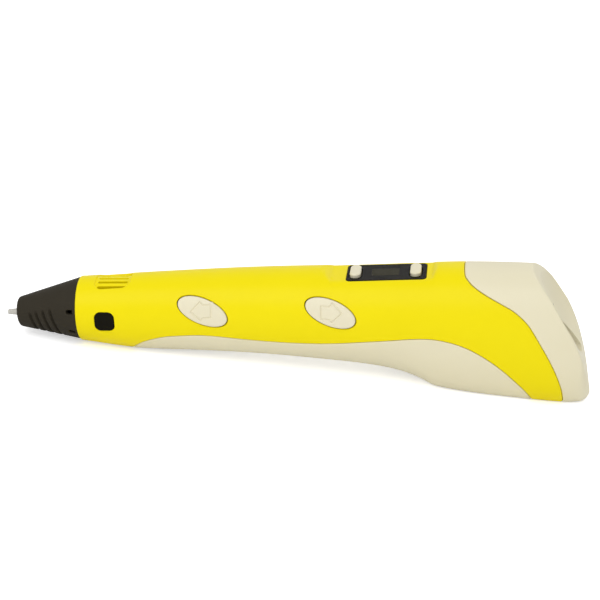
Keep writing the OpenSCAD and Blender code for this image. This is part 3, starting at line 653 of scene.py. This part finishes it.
def flank_reach(x, v):
    """How far out the casing's skin lies, at x and a height up the flank."""
    n = along(ROUNDNESS, x)
    top, low, side = along(TOP_LINE, x), along(BELLY_LINE, x), along(HALF_WIDTH, x)
    near, far = np.full(x.shape, 4.0), np.full(x.shape, 22.0)
    for _ in range(40):
        w = (near + far) / 2
        y, z = w * FLANK_OUT[1] + v * FLANK_UP[1], w * FLANK_OUT[2] + v * FLANK_UP[2]
        inside = (np.abs(y) / side) ** n + (np.abs(z - (top + low) / 2) / ((top - low) / 2)) ** n < 1
        near, far = np.where(inside, w, near), np.where(inside, far, w)
    return (near + far) / 2


def line_distance(u, v, line):
    away = np.full(u.shape, FAR)
    for (ax, ay), (bx, by) in zip(line[:-1], line[1:]):
        t = np.clip(((u - ax) * (bx - ax) + (v - ay) * (by - ay)) / ((bx - ax) ** 2 + (by - ay) ** 2), 0, 1)
        away = np.minimum(away, np.hypot(u - ax - t * (bx - ax), v - ay - t * (by - ay)))
    return away


for key, centre in KEYS.items():
    x, v = np.meshgrid(np.arange(-8.4, 8.5, 0.12) + centre[0], np.arange(-5.9, 6.0, 0.12) + centre[1])
    arrow = ARROW if key == "feed_key" else ARROW * [-1, 1]
    groove = 0.32 * np.exp(-(line_distance(x - centre[0], v - centre[1], arrow) / 0.19) ** 2)
    w = flank_reach(x, v) + KEY_LIFT - groove
    flange = KEY_FACE[key] - FLANGE_DEPTH

    def on_flank(x, v, w):
        return x[..., None] * [1, 0, 0] + v[..., None] * FLANK_UP + w[..., None] * FLANK_OUT

    def key_wall(p, out):
        flat_out = unit(out - (out @ FLANK_OUT)[:, None] * FLANK_OUT)
        stem = p + (flange - p @ FLANK_OUT)[:, None] * FLANK_OUT
        return [stem, stem + 0.9 * flat_out, stem + 0.9 * flat_out - FLANK_OUT]

    back = on_flank(x, v, np.full_like(w, flange - 1))
    solid = mould(sheet(on_flank(x, v, w), back), [(opposite(off_key(centre)), 0, 0.5, key_wall)])
    body = key.replace("key", "button")
    piece_from(key + "_cap", [solid], key_ivory, body, [key])


# ---- Display window ----
# A gloss black acrylic pane set flush in the flat on top, with two slots for the small keys. The
# screen behind it shows only as a slightly paler patch.
STUD_X = [2.7, 21.3]
STUD = (3.7, 8.2)


def on_flat(u, y, h):
    c, s = math.cos(FLAT_TILT), math.sin(FLAT_TILT)
    return np.stack([FLAT_AT[0] + u * c - h * s, y, FLAT_AT[1] + u * s + h * c], -1)


def off_stud(middle, grow):
    def field(p):
        u, _ = flat_place(p)
        return rounded_box(u - middle, p[:, 1], STUD[0] / 2 + grow, STUD[1] / 2 + grow, STUD[0] / 2 + grow)
    return field


pane_u, pane_y = np.meshgrid(np.arange(-0.6, 25.4, 0.3), np.arange(-6.9, 7, 0.3))
level = np.zeros_like(pane_u)
pane = mould(sheet(on_flat(pane_u, pane_y, level), on_flat(pane_u, pane_y, level - 1.1)), [
    (opposite(off_window), 0, 0.2, None)] + [(off_stud(x, 0.15), 0, 0.15, None) for x in STUD_X])
gloss_black = plastic("gloss_black_acrylic", rgb(17, 14, 6), rgb(13, 11, 4), 0.12, grain=0.0, mirror=0.06)
piece_from("display_pane", [pane], gloss_black, "casing", ["display_window"])

# the screen's glass, a hair above the pane's face so that it shows as a paler patch
screen_u, screen_y = np.meshgrid(np.arange(7.5, 16.6, 0.3), np.arange(-3, 3.1, 0.3))
screen_level = np.zeros_like(screen_u)
screen = mould(
    sheet(on_flat(screen_u, screen_y, screen_level + 0.02), on_flat(screen_u, screen_y, screen_level - 0.4)),
    [(lambda p: -rounded_box(flat_place(p)[0] - 11.95, p[:, 1], 4.25, 2.7, 0.25), 0, 0.02, None)])
screen_glass = plastic("screen_glass", rgb(47, 44, 25), rgb(42, 39, 22), 0.14, grain=0.0, mirror=0.06)
piece_from("display_screen", [screen], screen_glass, "casing")


# ---- Small top keys ----
# Two ivory keys, moulded ABS, that stand up through the pane: one sets the heat and one the
# speed. Each is crowned across its width and is held by a foot below the pane.
STUD_LIFT = 1.3
FOOT_DEPTH = 1.25
FLAT_UP = np.array([-math.sin(FLAT_TILT), 0, math.cos(FLAT_TILT)])
for name, middle in (("heat_key", STUD_X[0]), ("speed_key", STUD_X[1])):
    u, y = np.meshgrid(np.arange(-2.1, 2.2, 0.15), np.arange(-4.5, 4.6, 0.15))
    crown = STUD_LIFT - u**2 / 9 - (y / 6) ** 4

    def stud_wall(p, out):
        _, height = flat_place(p)
        foot_top = p - (height + FOOT_DEPTH)[:, None] * FLAT_UP
        return [foot_top, foot_top + 0.5 * out * [0, 1, 0]]

    shape = sheet(on_flat(u + middle, y, crown), on_flat(u + middle, y, np.full_like(u, -2.1)))
    solid = mould(shape, [(opposite(off_stud(middle, 0)), 0, 0.55, stud_wall)])
    body = name.replace("key", "button")
    piece_from(name + "_cap", [solid], key_ivory, body, [name])


# ---- Inner pieces ----
# The drive, hot end, fan, boards, wiring and screws are the frame's own solids. Each takes the
# finish of what it is made of: brass, steel, nylon, printed board, enamelled wire and so on.
FINISHES = {
    "screw_steel": plastic("screw_steel", rgb(150, 150, 152), rgb(120, 120, 122), 0.3, metal=1.0),
    "heater_wire": plastic("heater_wire", rgb(120, 112, 104), rgb(96, 88, 82), 0.4, metal=1.0),
    "ceramic": ceramic,
    "bearing_steel": plastic("bearing_steel", rgb(190, 192, 195), rgb(172, 174, 178), 0.18, metal=1.0),
    "gear_brass": plastic("gear_brass", rgb(206, 170, 92), rgb(188, 150, 76), 0.27, metal=1.0),
    "white_nylon": plastic("white_nylon", rgb(226, 225, 220), rgb(214, 213, 208), 0.48),
    "tube_plastic": plastic("tube_plastic", rgb(232, 234, 236), rgb(214, 218, 222), 0.32),
    "black_plastic": plastic("black_plastic", rgb(34, 33, 32), rgb(26, 26, 25), 0.45, grain=0.04),
    "switch_steel": plastic("switch_steel", rgb(176, 176, 178), rgb(158, 158, 160), 0.36, metal=1.0),
    "circuit_board": plastic("circuit_board", rgb(16, 92, 52), rgb(12, 76, 44), 0.38),
    "led_lens": plastic("led_lens", rgb(224, 228, 230), rgb(210, 214, 218), 0.15, grain=0.0),
    "display_glass": screen_glass,
    "red_lead": plastic("red_lead", rgb(168, 30, 24), rgb(148, 22, 18), 0.42),
    "black_lead": plastic("black_lead", rgb(30, 30, 30), rgb(22, 22, 22), 0.42),
    "yellow_plastic": yellow_abs, "ivory_plastic": ivory_abs, "nose_plastic": soot_nylon,
    "smoked_window": gloss_black,
}
slot_of = {part["node"]: part["material_slot"] for part in frame["record"]["subparts"]}
for name, node in frame["nodes"].items():
    node.data.materials.clear()
    node.data.materials.append(FINISHES[slot_of[name]])


# ---- Floor, light and camera ----
# A white paper floor that runs up behind and is lit enough to read as white, a large soft light
# above and to the left, two weaker fills, and a long lens a little above the key side of the pen.
def pen_point(x, y, z):
    return Vector(to_frame(np.array([[x, y, z]], float))[0])


def area_light(name, at, aim, size, power):
    lamp = bpy.data.lights.new(name, "AREA")
    lamp.shape = "RECTANGLE"
    lamp.size, lamp.size_y = size
    lamp.energy = power
    holder = bpy.data.objects.new(name, lamp)
    bpy.context.scene.collection.objects.link(holder)
    holder.location = at
    holder.rotation_euler = (Vector(aim) - Vector(at)).to_track_quat("-Z", "Y").to_euler()


def backdrop():
    half, near, far, rise, bend_r = 1.6, -2.0, 0.9, 1.2, 0.5
    outline = [(near, 0.0), (far, 0.0)]
    outline += [(far + bend_r * math.sin(a), bend_r - bend_r * math.cos(a))
                for a in np.linspace(0, math.pi / 2, 16)[1:]]
    outline.append((far + bend_r, rise))
    mesh = bpy.data.meshes.new("floor")
    points = [(side * half, y, z) for y, z in outline for side in (-1, 1)]
    mesh.from_pydata(points, [], [[2 * i, 2 * i + 1, 2 * i + 3, 2 * i + 2] for i in range(len(outline) - 1)])
    mesh.polygons.foreach_set("use_smooth", [True] * len(mesh.polygons))
    made = bpy.data.objects.new("floor", mesh)
    bpy.context.scene.collection.objects.link(made)
    paper = plastic("pale_floor", rgb(250, 250, 250), rgb(248, 248, 248), 0.9, grain=0.0)
    surface = paper.node_tree.nodes["Principled BSDF"]
    surface.inputs["Emission Color"].default_value = (1, 1, 1, 1)
    seen = paper.node_tree.nodes.new("ShaderNodeLightPath")
    lit = paper.node_tree.nodes.new("ShaderNodeMath")
    lit.operation = "MULTIPLY"
    lit.inputs[1].default_value = 0.5
    paper.node_tree.links.new(seen.outputs["Is Camera Ray"], lit.inputs[0])
    paper.node_tree.links.new(lit.outputs["Value"], surface.inputs["Emission Strength"])
    mesh.materials.append(paper)


backdrop()
area_light("key_light", (-0.25, -0.55, 0.75), (0, 0, 0.01), (0.9, 0.7), 4.0)
area_light("front_fill", (0.1, -0.9, 0.25), (0, 0, 0.01), (0.9, 0.5), 0.3)
area_light("rear_fill", (0.5, 0.6, 0.7), (0, 0, 0.01), (0.8, 0.6), 1.8)
world = bpy.data.worlds.new("studio")
bpy.context.scene.world = world
world.use_nodes = True
world.node_tree.nodes["Background"].inputs["Color"].default_value = (1, 1, 1, 1)
world.node_tree.nodes["Background"].inputs["Strength"].default_value = 0.6
bpy.context.scene.view_settings.view_transform = "Standard"

AZIMUTH, ELEVATION, ROLL = (math.radians(a) for a in (7, 24, -2.859))
DISTANCE = 560
back = np.array([math.sin(AZIMUTH) * math.cos(ELEVATION), -math.cos(AZIMUTH) * math.cos(ELEVATION),
                 math.sin(ELEVATION)])
right = np.array([math.cos(AZIMUTH), math.sin(AZIMUTH), 0])
up = np.cross(back, right)
right, up = (right * math.cos(ROLL) + up * math.sin(ROLL), up * math.cos(ROLL) - right * math.sin(ROLL))
turned = np.array([right, up, back]) @ pen_axes
camera = bpy.data.objects.new("camera", bpy.data.cameras.new("camera"))
bpy.context.scene.collection.objects.link(camera)
camera.matrix_world = Matrix.Translation(pen_point(*(np.array([92, 0, 0]) + back * DISTANCE))) @ \
    Matrix(turned.T.tolist()).to_4x4()
camera.data.sensor_width = 36
camera.data.lens = 107.06
camera.data.shift_x = 0.00903
camera.data.shift_y = 0.01917
camera.data.clip_start = 0.01
camera.data.clip_end = 20
bpy.context.scene.camera = camera
